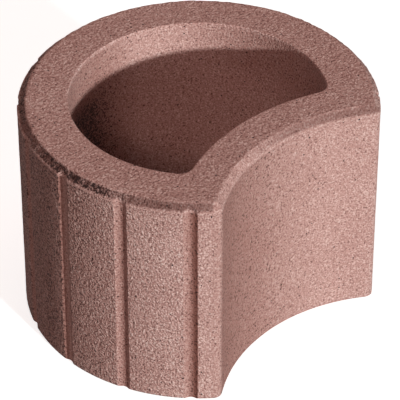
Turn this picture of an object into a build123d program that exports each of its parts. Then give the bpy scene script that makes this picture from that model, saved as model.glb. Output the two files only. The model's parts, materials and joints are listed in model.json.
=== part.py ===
"""One cast concrete planter ring, the block of a green retaining wall.

Frame: +Z up, millimetres, the notch faces -Y, origin at the centre of the footprint on the base.
"""
import os

from build123d import *

# The block as a whole
outer_diameter = 300
height = 200

# The wall round the planting hollow
round_wall = 43
notch_wall = 36
hollow_corner_radius = 12

# The notch takes the round face of the next ring, one pitch away
nesting_pitch = 240
nesting_gap = 3
horn_radius = 8

# The arris along the top of every outer face
arris = 6

# The upright grooves of the round face, evenly spaced between the two beside the notch
groove_width = 10.8
groove_depth = 4.2
groove_count = 13
notch_to_first_groove = 47.7

# Radii that follow from those sizes
outer_radius = outer_diameter / 2
hollow_radius = outer_radius - round_wall
notch_radius = outer_radius + nesting_gap
hollow_notch_radius = notch_radius + notch_wall

# A groove is the print of a round bar that stands partly outside the face
groove_bar_radius = (groove_width**2 / 4 + groove_depth**2) / (2 * groove_depth)
groove_bar_circle = outer_radius - groove_depth + groove_bar_radius
notch_angle = -90
groove_span = 360 - 2 * notch_to_first_groove

# The horns reach forward of the round wall's own axis, so that axis lies in front of the footprint's centre
horn_centre_reach = (
    nesting_pitch**2 + (outer_radius - horn_radius) ** 2 - (notch_radius + horn_radius) ** 2
) / (2 * nesting_pitch)
horn_reach = horn_centre_reach + horn_radius
base = Plane((0, (horn_reach - outer_radius) / 2, 0))

with BuildPart() as planter_ring:
    # The solid outline: a round block with the next ring's round face bitten out of it
    with BuildSketch(base) as outline:
        Circle(outer_radius)
        with Locations((0, -nesting_pitch)):
            Circle(notch_radius, mode=Mode.SUBTRACT)
        horn_tips = outline.vertices().sort_by(Axis.Y)[:2]
        fillet(horn_tips, horn_radius)
    extrude(amount=height)

    # The arris runs round the whole top edge, along the notch too
    top_face = planter_ring.faces().sort_by(Axis.Z)[-1]
    chamfer(top_face.outer_wire().edges(), arris)

    # The crescent hollow goes right through and leaves an even wall along the notch
    with BuildSketch(base) as hollow:
        Circle(hollow_radius)
        with Locations((0, -nesting_pitch)):
            Circle(hollow_notch_radius, mode=Mode.SUBTRACT)
        hollow_corners = hollow.vertices().sort_by(Axis.Y)[:2]
        fillet(hollow_corners, hollow_corner_radius)
    extrude(amount=height, mode=Mode.SUBTRACT)

    # The grooves cut the round face and the arris above it, and stop short of the top face
    with BuildSketch(base) as grooves:
        with PolarLocations(
            groove_bar_circle,
            groove_count,
            start_angle=notch_angle + notch_to_first_groove,
            angular_range=groove_span,
            endpoint=True,
        ):
            Circle(groove_bar_radius)
    extrude(amount=height, mode=Mode.SUBTRACT)

planter_ring.part.label = "planter_ring"

os.makedirs("parts", exist_ok=True)
export_step(planter_ring.part, "parts/planter_ring.step")
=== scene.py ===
"""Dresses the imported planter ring: one cast block of dyed concrete for a planted retaining wall."""

import json
import logging
import math
from collections.abc import Iterable
from dataclasses import dataclass, replace
from enum import Enum

import bpy
import numpy as np
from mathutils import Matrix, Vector


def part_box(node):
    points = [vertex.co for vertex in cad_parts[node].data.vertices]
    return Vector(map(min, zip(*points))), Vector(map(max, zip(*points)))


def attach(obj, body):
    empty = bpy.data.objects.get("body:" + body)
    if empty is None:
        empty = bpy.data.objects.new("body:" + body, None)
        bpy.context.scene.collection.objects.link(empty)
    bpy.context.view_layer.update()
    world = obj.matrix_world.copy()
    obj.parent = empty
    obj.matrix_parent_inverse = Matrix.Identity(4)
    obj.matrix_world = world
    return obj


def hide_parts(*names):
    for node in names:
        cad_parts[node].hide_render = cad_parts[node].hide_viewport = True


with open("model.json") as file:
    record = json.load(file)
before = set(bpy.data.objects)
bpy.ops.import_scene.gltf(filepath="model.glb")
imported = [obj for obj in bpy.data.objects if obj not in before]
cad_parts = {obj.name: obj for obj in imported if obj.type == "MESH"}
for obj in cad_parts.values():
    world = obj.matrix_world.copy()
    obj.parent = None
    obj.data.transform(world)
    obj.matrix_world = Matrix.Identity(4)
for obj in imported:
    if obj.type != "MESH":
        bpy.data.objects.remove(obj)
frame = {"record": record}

MM = 0.001
BODY = "root"
NODE = "planter_ring"
WHITE = (1.0, 1.0, 1.0, 1.0)
# A colour mix node gives its colour sockets the same names as its others, so they go by number
MIX_UNDER, MIX_OVER, MIX_RESULT = 6, 7, 2

Tree = bpy.types.NodeTree
Socket = bpy.types.NodeSocket
Point = tuple[float, float]

log = logging.getLogger("planter_ring")


def linear(colour: str) -> tuple[float, float, float, float]:
    """Turns an sRGB hex colour into the linear colour that a shader takes.

    Args:
        colour: the colour as "#RRGGBB".

    Returns:
        Red, green, blue and alpha, each from 0 to 1.
    """
    parts = [int(colour[i : i + 2], 16) / 255 for i in (1, 3, 5)]
    curve = [c / 12.92 if c <= 0.04045 else ((c + 0.055) / 1.055) ** 2.4 for c in parts]
    return (*curve, 1.0)


def add(tree: Tree, kind: str, *inputs: object, **settings: object) -> bpy.types.Node:
    """Adds one node to a tree, with its settings, its values and its links.

    Args:
        tree: the node tree that takes the node.
        kind: the node's type name.
        inputs: what goes into the sockets in order: a socket is linked, None is left alone, and any
            other value is set. A dictionary does the same by socket name.
        settings: the node's own properties by name.

    Returns:
        The new node.
    """
    node = tree.nodes.new(kind)
    for name, value in settings.items():
        setattr(node, name, value)
    wanted: dict[int | str, object] = {}
    for place, value in enumerate(inputs):
        wanted.update(value if isinstance(value, dict) else {place: value})
    for key, value in wanted.items():
        if isinstance(value, Socket):
            tree.links.new(value, node.inputs[key])
        elif value is not None:
            node.inputs[key].default_value = value
    return node


def maths(tree: Tree, operation: str, *inputs: object) -> Socket:
    """Adds one maths node to a tree and gives its result."""
    return add(tree, "ShaderNodeMath", *inputs, operation=operation).outputs[0]


def ramp(
    tree: Tree, value: Socket, start: float = 0.0, end: float = 1.0, low: float = 0.0, high: float = 1.0
) -> Socket:
    """Adds a ramp between two values.

    Args:
        tree: the node tree.
        value: the value that runs along the ramp.
        start: the value at which the ramp begins.
        end: the value at which it ends.
        low: what the ramp gives before its start.
        high: what it gives beyond its end.

    Returns:
        The ramp's result.
    """
    ends = {"From Min": start, "From Max": end, "To Min": low, "To Max": high}
    return add(tree, "ShaderNodeMapRange", {"Value": value}, ends).outputs[0]


def start_tree(name: str, sizes: Iterable[str]) -> tuple[Tree, bpy.types.bpy_prop_collection]:
    """Starts a geometry tree that reshapes one mesh.

    Args:
        name: the tree's name.
        sizes: the names of its number inputs.

    Returns:
        The tree, and what comes out of its input node.
    """
    tree = bpy.data.node_groups.new(name, "GeometryNodeTree")
    inputs = [("Geometry", "Geometry"), *((size, "Float") for size in sizes), ("Material", "Material")]
    for label, kind in inputs:
        tree.interface.new_socket(label, in_out="INPUT", socket_type=f"NodeSocket{kind}")
    tree.interface.new_socket("Geometry", in_out="OUTPUT", socket_type="NodeSocketGeometry")
    return tree, add(tree, "NodeGroupInput").outputs


def end_tree(tree: Tree, given: bpy.types.bpy_prop_collection, **moved: Socket) -> None:
    """Ends a geometry tree: moves the mesh's points and gives the mesh its material.

    Args:
        tree: the geometry tree.
        given: what comes out of its input node.
        moved: the points' new Position or their Offset.
    """
    shaped = add(tree, "GeometryNodeSetPosition", given["Geometry"], moved).outputs[0]
    whole = add(tree, "GeometryNodeRealizeInstances", shaped).outputs[0]
    dressed = add(tree, "GeometryNodeSetMaterial", whole, {"Material": given["Material"]}).outputs[0]
    add(tree, "NodeGroupOutput", dressed)


class Zone(Enum):
    """The parts of the casting's surface, each cast against another part of the mould."""

    WALL = "wall"
    ARRIS = "arris"
    TOP = "top"
    HOLLOW = "hollow"
    BASE = "base"


@dataclass(frozen=True)
class Stations:
    """Where the plan is sampled, as fractions along each of its stretches."""

    round_face: np.ndarray
    corner: np.ndarray
    bite: np.ndarray

    @property
    def count(self) -> int:
        """How many stations one turn has."""
        return len(self.round_face) + 2 * len(self.corner) + len(self.bite)


@dataclass(frozen=True)
class Crescent:
    """A plan outline: a circle with a second circle bitten out towards -Y, its two corners rounded."""

    axis_y: float
    round_radius: float
    bite_distance: float
    bite_radius: float
    corner_radius: float
    sharpest_corner: float = 0.3 * MM

    def grown(self, amount: float) -> "Crescent":
        """Moves the outline outwards.

        Args:
            amount: how far, in metres; a negative amount moves it inwards.

        Returns:
            The outline at that distance from this one.
        """
        return replace(
            self,
            round_radius=self.round_radius + amount,
            bite_radius=self.bite_radius - amount,
            corner_radius=max(self.corner_radius + amount, self.sharpest_corner),
        )

    def corner(self) -> tuple[float, float]:
        """Finds a corner's centre.

        Returns:
            How far it lies in front of the axis, and how far to the side.
        """
        from_axis = self.round_radius - self.corner_radius
        from_bite = self.bite_radius + self.corner_radius
        reach = (self.bite_distance**2 + from_axis**2 - from_bite**2) / (2 * self.bite_distance)
        return reach, math.sqrt(from_axis**2 - reach**2)

    def turn_angles(self) -> tuple[float, float]:
        """Finds where the corners start and end.

        Returns:
            The angle from -Y to a corner's centre as the axis sees it, and as the bite's centre does.
        """
        reach, side = self.corner()
        return math.atan2(side, reach), math.atan2(side, self.bite_distance - reach)

    def points(self, stations: Stations) -> np.ndarray:
        """Samples the outline once round, anticlockwise from the +X corner.

        Args:
            stations: where to sample it.

        Returns:
            One row of x and y for each station.
        """
        reach, side = self.corner()
        from_axis, from_bite = self.turn_angles()
        down, up = -math.pi / 2, math.pi / 2
        start, end = down + from_axis, down + 2 * math.pi - from_axis
        stretches = (
            ((0, 0), self.round_radius, start, end, stations.round_face),
            ((-side, -reach), self.corner_radius, down - from_axis, down + from_bite, stations.corner),
            ((0, -self.bite_distance), self.bite_radius, up + from_bite, up - from_bite, stations.bite),
            ((side, -reach), self.corner_radius, down - from_bite, down + from_axis, stations.corner),
        )
        laid = []
        for (x, y), radius, start, end, fractions in stretches:
            angle = start + (end - start) * fractions
            laid.append(np.column_stack([x + radius * np.cos(angle), y + radius * np.sin(angle)]))
        return np.vstack(laid) + (0, self.axis_y)


@dataclass(frozen=True)
class Row:
    """One level line of the surface, between the outer outline and the hollow's."""

    inset: float
    growth: float
    blend: float
    height: float
    zone: Zone


@dataclass(frozen=True)
class Grooves:
    """The upright grooves of the round face, each the print of a round bar in the mould."""

    count: int = 13
    width: float = 10.4 * MM
    depth: float = 3.0 * MM
    from_notch: float = math.radians(47.7)
    edge_softness: float = 2.0 * MM
    # What a spoke that misses the bar by a square metre adds to its radius
    miss: float = -1 / MM**2

    @property
    def bar_radius(self) -> float:
        """The radius of the bar that leaves this width and depth."""
        return (self.width**2 / 4 + self.depth**2) / (2 * self.depth)

    @property
    def step(self) -> float:
        """The angle from one groove to the next."""
        return (2 * math.pi - 2 * self.from_notch) / (self.count - 1)

    def tree(self, sizes: dict[str, float]) -> Tree:
        """Builds the tree that prints the bars into a round wall.

        Args:
            sizes: the tree's sizes by the names of its inputs.

        Returns:
            The geometry tree, with the sizes as its inputs.
        """
        tree, given = start_tree("print_grooves", sizes)
        place = add(tree, "GeometryNodeInputPosition").outputs[0]
        split = add(tree, "ShaderNodeSeparateXYZ", place).outputs
        centre = add(tree, "ShaderNodeCombineXYZ", 0.0, given["Axis Y"], split["Z"]).outputs[0]
        spoke = add(tree, "ShaderNodeVectorMath", place, centre, operation="SUBTRACT").outputs[0]
        radius = add(tree, "ShaderNodeVectorMath", spoke, operation="LENGTH").outputs["Value"]
        along = add(tree, "ShaderNodeVectorMath", spoke, operation="NORMALIZE").outputs[0]
        flat = add(tree, "ShaderNodeSeparateXYZ", along).outputs

        # The angle is counted from the first groove, and the whole number of steps in it names a groove
        angle = maths(tree, "ARCTAN2", flat["Y"], flat["X"])
        turned = maths(tree, "SUBTRACT", angle, given["First Angle"])
        positive = maths(tree, "FLOORED_MODULO", turned, 2 * math.pi)
        steps = maths(tree, "DIVIDE", positive, given["Step Angle"])
        nearest = maths(tree, "ROUND", steps)
        groove = maths(tree, "MINIMUM", nearest, given["Last Groove"])
        away = maths(tree, "SUBTRACT", steps, groove)
        off = maths(tree, "MULTIPLY", away, given["Step Angle"])

        # The spoke meets the near side of the bar at this radius, and where it misses, far outside
        sine = maths(tree, "SINE", off)
        cosine = maths(tree, "COSINE", off)
        side = maths(tree, "MULTIPLY", sine, given["Bar Circle"])
        ahead = maths(tree, "MULTIPLY", cosine, given["Bar Circle"])
        side_square = maths(tree, "POWER", side, 2.0)
        bar_square = maths(tree, "POWER", given["Bar Radius"], 2.0)
        rest = maths(tree, "SUBTRACT", bar_square, side_square)
        chord = maths(tree, "MAXIMUM", rest, 0.0)
        half = maths(tree, "SQRT", chord)
        hit = maths(tree, "SUBTRACT", ahead, half)
        short = maths(tree, "MINIMUM", rest, 0.0)
        far = maths(tree, "MULTIPLY", short, self.miss)
        face = maths(tree, "ADD", hit, far)
        pressed = maths(tree, "SMOOTH_MIN", radius, face, given["Softness"])
        moved = add(tree, "ShaderNodeVectorMath", along, {"Scale": pressed}, operation="SCALE").outputs[0]
        landed = add(tree, "ShaderNodeVectorMath", moved, centre, operation="ADD").outputs[0]

        end_tree(tree, given, Position=landed)
        return tree

    def sizes(self, plan: Crescent) -> dict[str, float]:
        """Works out the tree's sizes for a plan.

        Args:
            plan: the outline whose round face is grooved.

        Returns:
            The sizes by the names of the tree's inputs.
        """
        return {
            "Axis Y": plan.axis_y,
            "Bar Circle": plan.round_radius - self.depth + self.bar_radius,
            "Bar Radius": self.bar_radius,
            "First Angle": -math.pi / 2 + self.from_notch,
            "Step Angle": self.step,
            "Last Groove": float(self.count - 1),
            "Softness": self.edge_softness,
        }


@dataclass(frozen=True)
class CastSurface:
    """The unevenness that dry-cast concrete has when it leaves the mould."""

    swell: float = 0.5 * MM
    swell_size: float = 55 * MM
    ripple: float = 0.25 * MM
    ripple_size: float = 11 * MM
    grain: float = 0.7 * MM
    grain_size: float = 4.2 * MM
    crumble: float = 3.0 * MM
    crumble_size: float = 6 * MM
    whole_noise: tuple[float, float] = (0.0, 1.0)
    chip_noise: tuple[float, float] = (0.4, 0.75)
    detail: float = 1.5
    roughness: float = 0.55
    seed: float = 4.0

    def tree(self) -> Tree:
        """Builds the tree that presses the surface in along its normals.

        Returns:
            The geometry tree, with the sizes and the seed as its inputs.
        """
        tree, given = start_tree("cast_surface", self.sizes())
        place = add(tree, "GeometryNodeInputPosition").outputs[0]
        normal = add(tree, "GeometryNodeInputNormal").outputs[0]
        weights = {
            name: add(tree, "GeometryNodeInputNamedAttribute", name, data_type="FLOAT").outputs["Attribute"]
            for name in ("free", "coarse", "arris")
        }
        # The arris breaks away in chips, so only the upper part of its noise counts
        layers = (
            ("Swell", "free", self.whole_noise),
            ("Ripple", "free", self.whole_noise),
            ("Grain", "coarse", self.whole_noise),
            ("Crumble", "arris", self.chip_noise),
        )
        depth = None
        for name, weight, (start, end) in layers:
            scale = maths(tree, "DIVIDE", 1.0, given[f"{name} Size"])
            seed = maths(tree, "ADD", given["Seed"], float(len(name)))
            shape = {"Detail": self.detail, "Roughness": self.roughness}
            where = {"Vector": place, "W": seed, "Scale": scale}
            noise = add(tree, "ShaderNodeTexNoise", where, shape, noise_dimensions="4D").outputs[0]
            part = maths(tree, "MULTIPLY", ramp(tree, noise, start, end), given[name])
            kept = maths(tree, "MULTIPLY", part, weights[weight])
            depth = kept if depth is None else maths(tree, "ADD", depth, kept)
        inward = maths(tree, "MULTIPLY", depth, -1.0)
        offset = add(tree, "ShaderNodeVectorMath", normal, {"Scale": inward}, operation="SCALE").outputs[0]
        end_tree(tree, given, Offset=offset)
        return tree

    def sizes(self) -> dict[str, float]:
        """The tree's sizes and seed by the names of its inputs."""
        return {
            "Swell": self.swell,
            "Swell Size": self.swell_size,
            "Ripple": self.ripple,
            "Ripple Size": self.ripple_size,
            "Grain": self.grain,
            "Grain Size": self.grain_size,
            "Crumble": self.crumble,
            "Crumble Size": self.crumble_size,
            "Seed": self.seed,
        }


@dataclass(frozen=True)
class DyedConcrete:
    """Dry-cast concrete dyed red-brown with iron oxide.

    It is rammed earth-moist into the mould and struck at once, so it is dead matt and sandy. The grains
    on its skin are light, the paste between them is deeper, and fine pores stay open all over it. The low
    paste, the pits and the pores are darker partly in their own colour and partly as painted shade in the
    relief's low spots.
    """

    grain_crest: str = "#F4D2C9"
    paste: str = "#C3948B"
    low_paste_and_shade: str = "#8B5C54"
    pit: str = "#3A2522"
    pore: str = "#3A2522"
    torn_arris: str = "#5A332C"
    # The darker paste of the painted shade, laid where shade falls on the block
    painted_shade_paste: str = "#8A5448"
    grain_size: float = 2.6
    fine_size: float = 1.45
    hole_size: float = 2.8
    cloud_size: float = 45
    grain_detail: float = 1.0
    cloud_detail: float = 2.0
    cloud_shift: float = 0.12
    # Where on the noises' scale the grain's crests, its low paste, its pits and its holes begin and end
    crest_range: tuple[float, float] = (0.52, 0.76)
    low_range: tuple[float, float] = (0.50, 0.26)
    pit_level: float = 0.33
    # Painted shade also brings out more of the dark pits
    painted_shade_pits: float = 0.14
    open_pits: float = 0.18
    pit_softness: float = 0.12
    hole_level: float = 0.24
    open_holes: float = 0.26
    hole_softness: float = 0.10
    # How coarse a face must be to show its grain, and its pits
    grain_coarseness: tuple[float, float] = (-1.2, 1.0)
    pit_coarseness: tuple[float, float] = (0.0, 0.35)
    pore_spacing: float = 5.2
    pore_width: float = 1.9
    pore_lack: float = 0.3
    pore_softness: float = 0.3
    grain_height: float = 1.6
    fine_share: float = 0.8
    smooth_relief: float = 0.3
    pore_depth: float = 1.2
    pore_relief: float = 0.8
    roughness: float = 0.93
    specular: float = 0.25
    refraction: float = 1.5

    def noise(self, tree: Tree, place: Socket, size: float, detail: float) -> Socket:
        """Adds a noise whose lumps have a real size.

        Args:
            tree: the material's tree.
            place: the coordinates, in metres.
            size: the size of a lump, in millimetres.
            detail: how many finer layers the noise has.

        Returns:
            The noise, from 0 to 1 with its middle at 0.5.
        """
        return add(
            tree, "ShaderNodeTexNoise", {"Vector": place, "Scale": 1 / (size * MM), "Detail": detail}
        ).outputs[0]

    def mix(self, tree: Tree, share: Socket, under: Socket | tuple[float, ...], over: str) -> Socket:
        """Lays one colour over another.

        Args:
            tree: the material's tree.
            share: how much of the upper colour shows.
            under: the lower colour, as a socket or a linear colour.
            over: the upper colour, as a hex value.

        Returns:
            The mixed colour.
        """
        inputs = {"Factor": share, MIX_UNDER: under, MIX_OVER: linear(over)}
        return add(tree, "ShaderNodeMix", inputs, data_type="RGBA").outputs[MIX_RESULT]

    def pores(self, tree: Tree, place: Socket) -> Socket:
        """Adds the open pores: one in some cells of a loose packing, wider in some than in others.

        Args:
            tree: the material's tree.
            place: the coordinates, in metres.

        Returns:
            A value that is 1 inside a pore and 0 outside.
        """
        cells = add(
            tree, "ShaderNodeTexVoronoi", {"Vector": place, "Scale": 1 / (self.pore_spacing * MM)}
        ).outputs
        chance = add(tree, "ShaderNodeSeparateColor", cells["Color"]).outputs[0]
        widest = self.pore_width / self.pore_spacing / 2
        # A cell whose width comes out below 0 has no pore
        width = ramp(tree, chance, low=-self.pore_lack * widest, high=widest)
        inside = maths(tree, "SUBTRACT", width, cells["Distance"])
        return ramp(tree, inside, end=self.pore_softness * widest)

    def colour(self, tree: Tree, parts: dict[str, Socket]) -> Socket:
        """Lays the concrete's colours over each other.

        Args:
            tree: the material's tree.
            parts: the coordinates, the surface weights, the finest noise and the pores, by name.

        Returns:
            The surface's colour.
        """
        place, fine, damp = parts["place"], parts["fine"], parts["damp"]
        coarse, opened = parts["coarse"], parts["opened"]
        cloud = self.noise(tree, place, self.cloud_size, self.cloud_detail)
        holes = self.noise(tree, place, self.hole_size, self.grain_detail)
        shift = maths(tree, "MULTIPLY_ADD", cloud, self.cloud_shift, -self.cloud_shift / 2)
        tone = maths(tree, "ADD", fine, shift)
        bare = ramp(tree, coarse, *self.grain_coarseness)
        crest = maths(tree, "MULTIPLY", ramp(tree, tone, *self.crest_range), bare)
        between = maths(tree, "MULTIPLY", ramp(tree, tone, *self.low_range), bare)

        # Parts with painted shade and open parts show more of the pits, and open parts more of the holes
        skin = ramp(tree, coarse, *self.pit_coarseness)
        painted_shade_pit_level = maths(tree, "MULTIPLY_ADD", damp, self.painted_shade_pits, self.pit_level)
        pit_level = maths(tree, "MULTIPLY_ADD", opened, self.open_pits, painted_shade_pit_level)
        hole_level = maths(tree, "MULTIPLY_ADD", opened, self.open_holes, self.hole_level)
        pit_depth = maths(tree, "SUBTRACT", pit_level, fine)
        pit = maths(tree, "MULTIPLY", ramp(tree, pit_depth, end=self.pit_softness), skin)
        hole_depth = maths(tree, "SUBTRACT", hole_level, holes)
        hole = maths(tree, "MULTIPLY", ramp(tree, hole_depth, end=self.hole_softness), skin)

        colour = linear(self.paste)
        for share, over in (
            (crest, self.grain_crest),
            # The low paste: its own deeper colour, and painted shade where the relief lies low
            (between, self.low_paste_and_shade),
            (parts["torn"], self.torn_arris),
            # Painted shade: a darker paste where shade falls on the block
            (damp, self.painted_shade_paste),
            # Pits and pores: dark, partly as painted shade in the cavities
            (pit, self.pit),
            (hole, self.pit),
            (parts["pore"], self.pore),
        ):
            colour = self.mix(tree, share, colour, over)
        return colour

    def relief(self, tree: Tree, parts: dict[str, Socket]) -> Socket:
        """Adds the relief that is too fine for the mesh: grains stand out, pores go in.

        Args:
            tree: the material's tree.
            parts: the coordinates, the surface weights, the finest noise and the pores, by name.

        Returns:
            The surface's normal.
        """
        grain = self.noise(tree, parts["place"], self.grain_size, self.grain_detail)
        fine = maths(tree, "MULTIPLY", parts["fine"], self.fine_share)
        grains = {
            "Strength": ramp(tree, parts["coarse"], low=self.smooth_relief),
            "Distance": self.grain_height * MM,
            "Height": maths(tree, "ADD", grain, fine),
        }
        pores = {
            "Strength": self.pore_relief,
            "Distance": self.pore_depth * MM,
            "Height": parts["pore"],
            "Normal": add(tree, "ShaderNodeBump", grains).outputs[0],
        }
        return add(tree, "ShaderNodeBump", pores, invert=True).outputs[0]

    def material(self) -> bpy.types.Material:
        """Builds the material.

        Returns:
            A node material that reads Object coordinates and the casting's own attributes.
        """
        made = bpy.data.materials.new("dyed_dry_cast_concrete")
        made.use_nodes = True
        tree = made.node_tree
        tree.nodes.clear()
        place = add(tree, "ShaderNodeTexCoord").outputs["Object"]
        parts = {
            name: add(tree, "ShaderNodeAttribute", attribute_name=name).outputs["Fac"]
            for name in ("coarse", "torn", "damp", "opened")
        }
        parts["place"] = place
        parts["fine"] = self.noise(tree, place, self.fine_size, self.grain_detail)
        parts["pore"] = self.pores(tree, place)
        surface = {
            "Base Color": self.colour(tree, parts),
            "Roughness": self.roughness,
            "IOR": self.refraction,
            "Specular IOR Level": self.specular,
            "Normal": self.relief(tree, parts),
        }
        shader = add(tree, "ShaderNodeBsdfPrincipled", surface)
        add(tree, "ShaderNodeOutputMaterial", shader.outputs[0])
        return made


@dataclass(frozen=True)
class Table:
    """A value given at some places. It runs evenly from one to the next and stays level beyond them."""

    places: tuple[float, ...]
    values: tuple[float, ...]

    def at(self, places: np.ndarray) -> np.ndarray:
        """Reads the table at some places."""
        return np.interp(places, self.places, self.values)


@dataclass(frozen=True)
class Places:
    """Where the stations of the plan lie, in the measures that the weathering is given in.

    round_face is 1 on the round face and 0 elsewhere. turn is in degrees from +X, anticlockwise from
    above. along runs from 0 at the -X horn to 1 at the +X horn. off is counted from the middle of the
    nearest groove, and its edges are at -1 and 1.
    """

    round_face: np.ndarray
    turn: np.ndarray
    along: np.ndarray
    off: np.ndarray


@dataclass(frozen=True)
class Shares:
    """How much of each row belongs to each part of the surface, as one column for each part.

    Inside the hollow, the lower part lies in the key lamp's cast shadow and takes painted shade there, and
    rim is what lies above it.
    """

    free: np.ndarray
    wall: np.ndarray
    under_arris: np.ndarray
    arris: np.ndarray
    top: np.ndarray
    shadowed_hollow: np.ndarray
    rim: np.ndarray


@dataclass(frozen=True)
class Weathering:
    """How coarse, torn and open the casting is from place to place, and where shade is painted on it.

    The tables run over the turn, unless their name says notch: those run along the notch. Each pair of
    painted groove shade holds a table across a groove and a table over the turn.
    """

    grain: Table = Table(
        (0, 195, 204, 221, 228, 312, 319, 336, 360),
        (1, 1, 0.8, 0.7, 0.15, 0.15, 0.7, 0.8, 1),
    )
    skin_grain: float = 0.35
    top_grain: float = 0.2
    wall_grain: float = 0.65
    polish: Table = Table((130, 145, 182, 196), (0.6, 0.9, 0.9, 0.6))
    polish_hump: tuple[float, float] = (2.4, 2.0)
    torn_arris: Table = Table(
        (0, 70, 95, 120, 180, 197, 212, 232, 318, 335, 360),
        (0.3, 0.3, 0.3, 0.75, 0.7, 0.6, 0.75, 0.58, 0.1, 0.3, 0.3),
    )
    torn_notch: Table = Table((0, 0.05, 0.3, 0.6, 1), (0.1, 0, 0.05, 0.5, 0.6))
    torn_below: float = 0.3
    open_arris: Table = Table(
        (0, 40, 95, 115, 140, 155, 172, 192, 204, 232, 300, 325, 360),
        (0.3, 0.2, 0.2, 0.8, 0.8, 0.4, 0.9, 1, 0.3, 0.15, 0.15, 0.4, 0.3),
    )
    # Pits that the round wall has on this side, made denser as painted shade where it turns away from the
    # key lamp
    open_and_shaded_wall: Table = Table((112, 138, 170, 200), (0, 0.5, 0.5, 0))
    # Dark pits as painted shade in the hollow's part below the cast shadow's edge
    shade_pits_hollow: Table = Table((80, 104, 160, 185), (0, 0.8, 0.8, 0))
    least_crumble: float = 0.3
    open_crumble: float = 0.7
    crumble_below: float = 0.6
    crumble_reach: float = 6 * MM
    # Painted shade on the round wall where it turns away from the key lamp
    painted_shade_wall: Table = Table(
        (116, 136, 146, 153, 165, 178, 190, 215),
        (0, 0.7, 0.7, 0.42, 0.38, 0.42, 0.28, 0),
    )
    # Painted shade on the notch wall, darkest near the -X horn and gone towards the +X horn
    painted_shade_notch: Table = Table((0, 0.03, 0.15, 0.4, 0.8), (0.15, 0.58, 0.6, 0.42, 0))
    # How much of the wall's painted shade the middle of a groove is spared, and the hump across it
    groove_shade_cut: float = 0.8
    groove_shade_cut_hump: tuple[float, float] = (1.0, 4.0)
    # Painted shade on one side of a groove: deepest by the notch, then in front, then at -X
    across: tuple[float, ...] = (-1.3, -0.9, -0.4, 0, 0.4, 0.95, 1.25)
    painted_groove_shade: tuple[tuple[Table, Table], ...] = (
        (Table(across, (0, 0.25, 0.4, 0.6, 0.85, 0.95, 0)), Table((208, 214), (0, 1))),
        (Table(across, (0, 0.05, 0.25, 0.6, 0.4, 0.15, 0)), Table((188, 193, 208, 214), (0, 1, 1, 0))),
        (Table((-1.25, -1.0, -0.75, -0.55), (0, 0.28, 0.28, 0)), Table((160, 172, 184, 192), (0, 1, 1, 0))),
    )
    # Painted shade on the hollow's wall below the cast shadow's edge
    painted_shade_hollow: Table = Table(
        (0, 72, 90, 104, 160, 185, 290, 310, 325, 345, 360),
        (0.05, 0, 0.4, 0.6, 0.6, 0, 0, 0.45, 0.4, 0.15, 0.05),
    )
    # The least painted shade in that part of the hollow
    least_painted_shade: float = 0.05
    # Painted shade on the hollow's rim above the cast shadow's edge, from about 86 to 160 degrees and from
    # 320 to 20
    painted_shade_rim: Table = Table(
        (0, 20, 45, 72, 86, 100, 160, 185, 290, 320, 360),
        (0.35, 0.3, 0, 0, 0.35, 0.5, 0.5, 0, 0, 0.4, 0.35),
    )
    # How far below the top the painted shade of the hollow is at its full, and where it ends, at the edge
    # of the key lamp's cast shadow
    shade_full_depth: float = 52 * MM
    shade_edge_depth: float = 36 * MM

    def hump(self, off: np.ndarray, shape: tuple[float, float]) -> np.ndarray:
        """A hump across a groove: its height in the middle and its fall, cut off at 0 and 1."""
        return np.clip(shape[0] - shape[1] * off**2, 0, 1)

    def coarse(self, at: Places, part: Shares) -> np.ndarray:
        """Says how coarse the surface is. The bars leave their grooves smoother than the wall.

        Args:
            at: where the stations of the plan lie.
            part: how much of each row belongs to each part of the surface.

        Returns:
            One value for each vertex.
        """
        grain = self.grain.at(at.turn) * at.round_face
        polished = at.round_face * self.hump(at.off, self.polish_hump)
        outside = np.maximum(part.wall, part.arris)
        coarse = self.skin_grain * part.free + self.top_grain * part.top + self.wall_grain * outside * grain
        return coarse * (1 - part.wall * polished * self.polish.at(at.turn)) * part.free

    def damp(self, at: Places, part: Shares) -> np.ndarray:
        """Says where shade is painted on the surface: on the notch, on the round wall, on one side of the
        grooves and in the hollow.

        Args:
            at: where the stations of the plan lie.
            part: how much of each row belongs to each part of the surface.

        Returns:
            One value for each vertex.
        """
        notch = self.painted_shade_notch.at(at.along) * (1 - at.round_face)
        wall = self.painted_shade_wall.at(at.turn) * at.round_face
        middle = at.round_face * self.hump(at.off, self.groove_shade_cut_hump)
        painted_groove_shade = sum(side.at(at.off) * reach.at(at.turn) for side, reach in self.painted_groove_shade) * at.round_face
        # Painted shade of the notch and the wall, less in the middle of the grooves, plus painted shade on
        # one side of each groove
        outside = (notch + wall) * (1 - self.groove_shade_cut * middle) + painted_groove_shade
        # Painted shade in the hollow below the cast shadow's edge
        hollow = self.least_painted_shade + at.round_face * self.painted_shade_hollow.at(at.turn)
        # Painted shade on the hollow's rim
        rim = at.round_face * self.painted_shade_rim.at(at.turn)
        return part.wall * outside + part.shadowed_hollow * hollow + part.rim * rim

    def weights(self, at: Places, part: Shares) -> dict[str, np.ndarray]:
        """Says where the surface is free, coarse, crumbled, torn and open, and where shade is painted on
        it.

        Args:
            at: where the stations of the plan lie.
            part: how much of each row belongs to each part of the surface.

        Returns:
            One value for each vertex, by the attribute's name.
        """
        torn = self.torn_arris.at(at.turn) * at.round_face
        torn += self.torn_notch.at(at.along) * (1 - at.round_face)
        opened = self.open_arris.at(at.turn) * at.round_face
        open_and_shaded_wall = self.open_and_shaded_wall.at(at.turn) * at.round_face
        shade_pits_hollow = self.shade_pits_hollow.at(at.turn) * at.round_face
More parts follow.
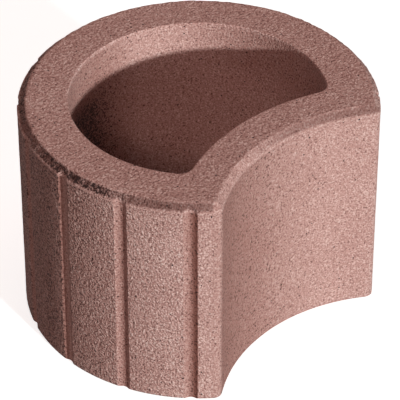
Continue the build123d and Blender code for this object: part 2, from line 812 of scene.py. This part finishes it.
        # The crumbling runs on a little way down the wall
        edge = part.arris + self.crumble_below * part.under_arris
        return {
            "free": part.free * np.ones(len(at.turn)),
            "coarse": self.coarse(at, part),
            "arris": edge * (self.least_crumble + self.open_crumble * opened),
            "torn": (part.arris + self.torn_below * part.under_arris) * torn,
            # In the hollow the open pits are painted shade; on the wall they are partly real pits and
            # partly painted shade
            "opened": edge * opened + part.wall * open_and_shaded_wall + part.shadowed_hollow * shade_pits_hollow,
            # Where shade is painted on the surface
            "damp": self.damp(at, part),
        }


@dataclass
class PlanterRing:
    """The casting: a grooved round wall and a concave notch wall round a crescent hollow."""

    height: float
    axis_y: float
    outer_radius: float
    notch_radius: float
    nesting_pitch: float
    round_wall: float = 43 * MM
    notch_wall: float = 36 * MM
    horn_radius: float = 8 * MM
    hollow_corner_radius: float = 12 * MM
    arris: float = 6 * MM
    arris_softness: float = 1.6 * MM
    rim_softness: float = 1.5 * MM
    base_softness: float = 1.2 * MM
    top_shift: float = 0.8 * MM
    groove_stations: tuple[float, ...] = (
        -1.30, -1.15, -1.06, -0.99, -0.90, -0.74, -0.50, -0.25, 0,
        0.25, 0.50, 0.74, 0.90, 0.99, 1.06, 1.15, 1.30,
    )
    horn_stations: int = 9
    rounding_points: int = 5
    slope_points: int = 5
    mesh_step: float = 2.2 * MM
    hollow_step: float = 1.5 * mesh_step
    hidden_step: float = 8 * MM
    grooves: Grooves = Grooves()
    surface: CastSurface = CastSurface()
    finish: DyedConcrete = DyedConcrete()
    weathering: Weathering = Weathering()

    @classmethod
    def from_frame(cls, record: dict, top: float) -> "PlanterRing":
        """Takes the block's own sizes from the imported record.

        Args:
            record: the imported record.
            top: the height of the CAD box.

        Returns:
            The casting at those sizes.
        """
        mounts = {mount["name"]: mount for mount in record["mounts"]}
        round_face, notch = mounts["round_face"], mounts["notch_seat"]
        outer_radius = round_face["dims"]["r_mm"] * MM
        notch_radius = notch["dims"]["r_mm"] * MM
        axis_y = round_face["pos_m"][1] - outer_radius
        notch_axis_y = notch["pos_m"][1] - notch_radius
        return cls(top, axis_y, outer_radius, notch_radius, axis_y - notch_axis_y)

    def outline(self) -> Crescent:
        """The block's plan, without its grooves."""
        return Crescent(
            self.axis_y, self.outer_radius, self.nesting_pitch, self.notch_radius, self.horn_radius
        )

    def hollow(self) -> Crescent:
        """The hollow's plan."""
        return Crescent(
            self.axis_y,
            self.outer_radius - self.round_wall,
            self.nesting_pitch,
            self.notch_radius + self.notch_wall,
            self.hollow_corner_radius,
        )

    def stations(self) -> Stations:
        """Spaces the plan's stations, closer together across each groove.

        Returns:
            The stations of one turn.
        """
        outline, grooves = self.outline(), self.grooves
        from_axis, from_bite = outline.turn_angles()
        sweep = 2 * math.pi - 2 * from_axis
        across = np.array(self.groove_stations) * grooves.width / 2 / self.outer_radius
        marks = [np.array([from_axis])]
        for groove in range(grooves.count):
            centre = grooves.from_notch + groove * grooves.step
            run = centre + across[0] - marks[-1][-1]
            plain = round(run * self.outer_radius / self.mesh_step)
            marks.append(np.linspace(marks[-1][-1], centre + across[0], plain + 1)[1:-1])
            marks.append(centre + across)
        last = round((from_axis + sweep - marks[-1][-1]) * self.outer_radius / self.mesh_step)
        marks.append(np.linspace(marks[-1][-1], from_axis + sweep, last + 1)[1:-1])
        round_face = (np.concatenate(marks) - from_axis) / sweep
        bite_count = round(2 * from_bite * self.notch_radius / self.mesh_step)
        return Stations(
            round_face,
            np.linspace(0, 1, self.horn_stations, endpoint=False),
            np.linspace(0, 1, bite_count, endpoint=False),
        )

    def softened(
        self,
        before: Point,
        corner: Point,
        after: Point,
        reach: float,
    ) -> list[Point]:
        """Rounds one corner of the wall's section.

        Args:
            before: a point on the straight run that comes in.
            corner: the sharp corner.
            after: a point on the straight run that goes out.
            reach: how far the rounding goes along each run.

        Returns:
            Points along the rounding, from the first run to the second.
        """
        middle = np.array(corner)
        start = middle + (np.array(before) - middle) / math.dist(before, corner) * reach
        end = middle + (np.array(after) - middle) / math.dist(after, corner) * reach
        steps = np.linspace(0, 1, self.rounding_points)[:, None]
        curve = (1 - steps) ** 2 * start + 2 * steps * (1 - steps) * middle + steps**2 * end
        return [tuple(point) for point in curve]

    def rows(self) -> list[Row]:
        """Lays the rows of the section: up the outer wall, over the top, down the hollow, under the base.

        Returns:
            The rows in order, the last next to the first.
        """
        high, arris, rim, foot = self.height, self.arris, self.rim_softness, self.base_softness
        wall_foot = self.softened((foot * 2, 0), (0, 0), (0, high), foot)
        wall_head = self.softened((0, 0), (0, high - arris), (arris, high), self.arris_softness)
        crown = self.softened((0, high - arris), (arris, high), (2 * arris, high), self.arris_softness)
        hollow_head = self.softened((2 * rim, high), (0, high), (0, 0), rim)
        hollow_foot = self.softened((0, high), (0, 0), (2 * foot, 0), foot)

        def level(start: float, end: float, step: float) -> np.ndarray:
            """Evenly spaced values between two ends, both left out."""
            return np.linspace(start, end, max(round(abs(end - start) / step), 1) + 1)[1:-1]

        rows = [Row(inset, 0, 0, z, Zone.WALL) for inset, z in wall_foot]
        rows += [Row(0, 0, 0, z, Zone.WALL) for z in level(foot, wall_head[0][1], self.mesh_step)]
        slope = np.linspace(wall_head[-1], crown[0], self.slope_points)[1:-1]
        rows += [Row(inset, 0, 0, z, Zone.ARRIS) for inset, z in (*wall_head, *slope, *crown)]
        across = self.round_wall - crown[-1][0] - rim
        for blend in level(0, 1, self.mesh_step / across):
            rows.append(Row(crown[-1][0], rim, blend, high, Zone.TOP))
        rows += [Row(0, growth, 1, z, Zone.TOP) for growth, z in hollow_head]
        # The photo shows only the hollow's upper half, so the rows are farther apart below it
        seen = high / 2
        rows += [Row(0, 0, 1, z, Zone.HOLLOW) for z in level(high - rim, seen, self.hollow_step)]
        rows += [Row(0, 0, 1, z, Zone.HOLLOW) for z in level(seen + self.mesh_step, foot, self.hidden_step)]
        rows += [Row(0, growth, 1, z, Zone.BASE) for growth, z in hollow_foot]
        for blend in level(1, 0, self.hidden_step / self.round_wall):
            rows.append(Row(foot, foot, blend, 0, Zone.BASE))
        return rows

    def blank(self) -> bpy.types.Object:
        """Builds the smooth casting, before its grooves are printed and its surface is uneven.

        Returns:
            A mesh object with its surface weights as attributes.
        """
        stations, rows = self.stations(), self.rows()
        outline, hollow = self.outline(), self.hollow()
        lines = []
        for row in rows:
            outer = outline.grown(-row.inset).points(stations)
            # The top edge lies a little towards -Y, so the arris is wider on the other side
            outer[:, 1] -= self.top_shift * min(row.inset / self.arris, 1) * (row.height > self.height / 2)
            inner = hollow.grown(row.growth).points(stations)
            line = (1 - row.blend) * outer + row.blend * inner
            lines.append(np.column_stack([line, np.full(stations.count, row.height)]))
        vertices = np.vstack(lines)

        row_count, turn = len(rows), stations.count
        grid = np.arange(row_count * turn).reshape(row_count, turn)
        right = np.roll(grid, -1, axis=1)
        above, above_right = np.roll(grid, -1, axis=0), np.roll(right, -1, axis=0)
        faces = np.stack([grid, right, above_right, above], axis=-1).reshape(-1, 4)
        mesh = bpy.data.meshes.new("planter_ring_casting")
        mesh.from_pydata(vertices.tolist(), [], faces.tolist())
        weights = self.weathering.weights(self.places(stations), self.shares(rows))
        for name, values in weights.items():
            layer = mesh.attributes.new(name, "FLOAT", "POINT")
            layer.data.foreach_set("value", values.ravel().astype(np.float32))
        mesh.shade_smooth()
        casting = bpy.data.objects.new("planter_ring_casting", mesh)
        bpy.context.scene.collection.objects.link(casting)
        return casting

    def places(self, stations: Stations) -> Places:
        """Finds where the stations lie.

        Args:
            stations: the stations of the plan.

        Returns:
            Their places in the weathering's measures.
        """
        outline, grooves = self.outline(), self.grooves
        round_face = np.zeros(stations.count)
        round_face[: len(stations.round_face)] = 1
        outer = outline.points(stations) - (0, self.axis_y)
        turn = np.degrees(np.arctan2(outer[:, 1], outer[:, 0])) % 360
        along = np.clip((outer[:, 0] / outline.corner()[1] + 1) / 2, 0, 1)
        steps = (np.radians(turn + 90) % (2 * math.pi) - grooves.from_notch) / grooves.step
        nearest = np.clip(np.round(steps), 0, grooves.count - 1)
        off = (steps - nearest) * grooves.step * self.outer_radius / (grooves.width / 2)
        return Places(round_face, turn, along, off)

    def shares(self, rows: list[Row]) -> Shares:
        """Finds how much of each row belongs to each part of the surface.

        Args:
            rows: the rows of the section.

        Returns:
            One column for each part, with one value for each row.
        """
        on = {zone: np.array([[row.zone is zone] for row in rows], float) for zone in Zone}
        height = np.array([[row.height] for row in rows])
        free = 1 - on[Zone.BASE]
        free[0] = 0
        # The arris fades in and out over its two roundings
        edge = [k for k, row in enumerate(rows) if row.zone is Zone.ARRIS]
        fade = np.linspace(0, 1, self.rounding_points)[:, None]
        arris = on[Zone.ARRIS]
        arris[edge[: self.rounding_points]], arris[edge[-self.rounding_points :]] = fade, fade[::-1]
        worn, high = self.weathering, self.height
        head = high - self.arris
        wall, hollow = on[Zone.WALL], on[Zone.HOLLOW]
        under = wall * Table((head - worn.crumble_reach, head), (0, 1)).at(height)
        # The hollow's part below the edge of the key lamp's cast shadow, which takes painted shade
        shadowed_hollow = hollow * Table((high - worn.shade_full_depth, high - worn.shade_edge_depth), (1, 0)).at(height)
        return Shares(free, wall, under, arris, on[Zone.TOP], shadowed_hollow, hollow - shadowed_hollow)

    def press(
        self,
        casting: bpy.types.Object,
        tree: Tree,
        sizes: dict[str, float],
        finish: bpy.types.Material,
    ) -> None:
        """Runs a geometry tree on the casting and keeps the result as its mesh.

        Args:
            casting: the casting's object.
            tree: the geometry tree.
            sizes: the tree's sizes by the names of its inputs.
            finish: the casting's material.
        """
        modifier = casting.modifiers.new(tree.name, "NODES")
        modifier.node_group = tree
        sockets = {
            item.name: item.identifier
            for item in tree.interface.items_tree
            if item.item_type == "SOCKET" and item.in_out == "INPUT"
        }
        for name, value in {**sizes, "Material": finish}.items():
            modifier[sockets[name]] = value
        casting.update_tag()
        graph = bpy.context.evaluated_depsgraph_get()
        graph.update()
        pressed = bpy.data.meshes.new_from_object(casting.evaluated_get(graph))
        casting.modifiers.remove(modifier)
        old = casting.data
        casting.data = pressed
        bpy.data.meshes.remove(old)

    def build(self) -> bpy.types.Object:
        """Builds the finished casting, hangs it on the body's empty and hides the CAD part.

        Returns:
            The casting's object.
        """
        finish = self.finish.material()
        casting = self.blank()
        sizes = self.grooves.sizes(self.outline())
        self.press(casting, self.grooves.tree(sizes), sizes, finish)
        self.press(casting, self.surface.tree(), self.surface.sizes(), finish)
        casting.data.shade_smooth()
        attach(casting, BODY)
        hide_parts(NODE)
        faces = len(casting.data.polygons)
        log.info("%s: %d faces, %d triangles", casting.name, faces, 2 * faces)
        return casting


@dataclass(frozen=True)
class Studio:
    """A plain pale floor, soft light and the photograph's camera."""

    camera_azimuth: float = -135.2
    camera_elevation: float = 37.43
    camera_distance: float = 2.2856
    target: tuple[float, float, float] = (0.0007, -0.0177, 0.0916)
    lens: float = 243.3
    sensor: float = 36.0
    clip_start: float = 0.05
    clip_end: float = 50.0
    key_azimuth: float = -99.0
    key_elevation: float = 11.0
    key_strength: float = 3.15
    key_colour: str = "#F0FEFF"
    soft_colour: str = "#FFE6DF"
    key_angle: float = 2.5
    fill_azimuth: float = -145.0
    fill_elevation: float = 37.0
    fill_strength: float = 0.70
    fill_angle: float = 12.0
    sun_distance: float = 3.0
    overhead_power: float = 4.6
    overhead_size: float = 1.2
    overhead_height: float = 1.6
    rim_azimuth: float = 55.0
    rim_elevation: float = 14.0
    rim_power: float = 9.0
    rim_size: float = 1.5
    rim_distance: float = 2.2
    ambient: float = 0.02
    floor_size: float = 12.0
    floor_seen: str = "#F4F4F4"
    floor_bounce: str = "#8C8C8C"
    floor_lift: float = 0.7

    def away(self, azimuth: float, elevation: float) -> Vector:
        """Finds a direction from the block.

        Args:
            azimuth: degrees from +X, anticlockwise from above.
            elevation: degrees above the floor.

        Returns:
            The unit vector that points there.
        """
        turn, rise = math.radians(azimuth), math.radians(elevation)
        return Vector((math.cos(rise) * math.cos(turn), math.cos(rise) * math.sin(turn), math.sin(rise)))

    def place(self, item: bpy.types.Object, direction: Vector, distance: float) -> None:
        """Puts a lamp or camera at a distance from the target and aims it there.

        Args:
            item: the lamp's or camera's object.
            direction: the unit vector from the target.
            distance: how far away it stands.
        """
        item.location = Vector(self.target) + direction * distance
        item.rotation_mode = "QUATERNION"
        item.rotation_quaternion = (-direction).to_track_quat("-Z", "Y")
        bpy.context.scene.collection.objects.link(item)

    def camera(self) -> None:
        """Makes the camera and gives it to the scene."""
        data = bpy.data.cameras.new("photo_camera")
        data.sensor_width, data.lens = self.sensor, self.lens
        data.clip_start, data.clip_end = self.clip_start, self.clip_end
        view = bpy.data.objects.new("photo_camera", data)
        self.place(view, self.away(self.camera_azimuth, self.camera_elevation), self.camera_distance)
        bpy.context.scene.camera = view

    def lamps(self) -> None:
        """Makes the low key lamp, the soft fill, and the wide lamps overhead and behind."""
        key = self.away(self.key_azimuth, self.key_elevation)
        fill = self.away(self.fill_azimuth, self.fill_elevation)
        for name, colour, strength, angle, direction in (
            ("key", self.key_colour, self.key_strength, self.key_angle, key),
            ("fill", self.soft_colour, self.fill_strength, self.fill_angle, fill),
        ):
            sun = bpy.data.lights.new(name, "SUN")
            sun.color = linear(colour)[:3]
            sun.energy, sun.angle = strength, math.radians(angle)
            self.place(bpy.data.objects.new(name, sun), direction, self.sun_distance)
        above, behind = Vector((0, 0, 1)), self.away(self.rim_azimuth, self.rim_elevation)
        for name, size, power, direction, distance in (
            ("overhead", self.overhead_size, self.overhead_power, above, self.overhead_height),
            ("rim", self.rim_size, self.rim_power, behind, self.rim_distance),
        ):
            panel = bpy.data.lights.new(name, "AREA")
            panel.shape, panel.size, panel.energy = "DISK", size, power
            panel.color = linear(self.soft_colour)[:3]
            self.place(bpy.data.objects.new(name, panel), direction, distance)

    def seen_directly(self, tree: Tree) -> Socket:
        """Adds the test for what the camera sees, straight or in a reflection.

        Args:
            tree: the material's or world's tree.

        Returns:
            A socket that is 1 for such rays.
        """
        rays = add(tree, "ShaderNodeLightPath").outputs
        mirrored = maths(tree, "ADD", rays["Is Camera Ray"], rays["Is Glossy Ray"])
        return add(
            tree, "ShaderNodeMath", mirrored, rays["Is Transmission Ray"], operation="ADD", use_clamp=True
        ).outputs[0]

    def world(self) -> None:
        """Makes the world: white to the camera, dim and even as light."""
        world = bpy.data.worlds.new("studio")
        bpy.context.scene.world = world
        world.use_nodes = True
        tree = world.node_tree
        tree.nodes.clear()
        seen = self.seen_directly(tree)
        strength = ramp(tree, seen, low=self.ambient)
        sky = add(tree, "ShaderNodeBackground", WHITE, strength).outputs[0]
        add(tree, "ShaderNodeOutputWorld", sky)

    def floor(self) -> None:
        """Makes the floor: near white to the camera, with the block's shadow on it."""
        half = self.floor_size / 2
        mesh = bpy.data.meshes.new("floor")
        corners = [(-half, -half, 0), (half, -half, 0), (half, half, 0), (-half, half, 0)]
        mesh.from_pydata(corners, [], [(0, 1, 2, 3)])
        floor = bpy.data.objects.new("floor", mesh)
        bpy.context.scene.collection.objects.link(floor)
        paint = bpy.data.materials.new("floor_paint")
        paint.use_nodes = True
        tree = paint.node_tree
        tree.nodes.clear()
        seen = self.seen_directly(tree)
        inputs = {"Factor": seen, MIX_UNDER: linear(self.floor_bounce), MIX_OVER: linear(self.floor_seen)}
        colour = add(tree, "ShaderNodeMix", inputs, data_type="RGBA").outputs[MIX_RESULT]
        matt = add(tree, "ShaderNodeBsdfDiffuse", colour).outputs[0]
        lift = maths(tree, "MULTIPLY", seen, self.floor_lift)
        glow = add(tree, "ShaderNodeEmission", WHITE, lift).outputs[0]
        both = add(tree, "ShaderNodeAddShader", matt, glow).outputs[0]
        add(tree, "ShaderNodeOutputMaterial", both)
        mesh.materials.append(paint)

    def build(self) -> None:
        """Builds the whole set."""
        bpy.context.scene.view_settings.view_transform = "Standard"
        self.floor()
        self.world()
        self.lamps()
        self.camera()
        log.info("studio: lens %.0f mm, key at %.0f degrees", self.lens, self.key_elevation)


def main() -> None:
    """Builds the casting and the studio; the casting notes its faces and triangles."""
    logging.basicConfig(level=logging.INFO, format="%(name)s: %(message)s")
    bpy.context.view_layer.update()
    PlanterRing.from_frame(frame["record"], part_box(NODE)[1].z).build()
    Studio().build()


if __name__ == "__main__":
    main()
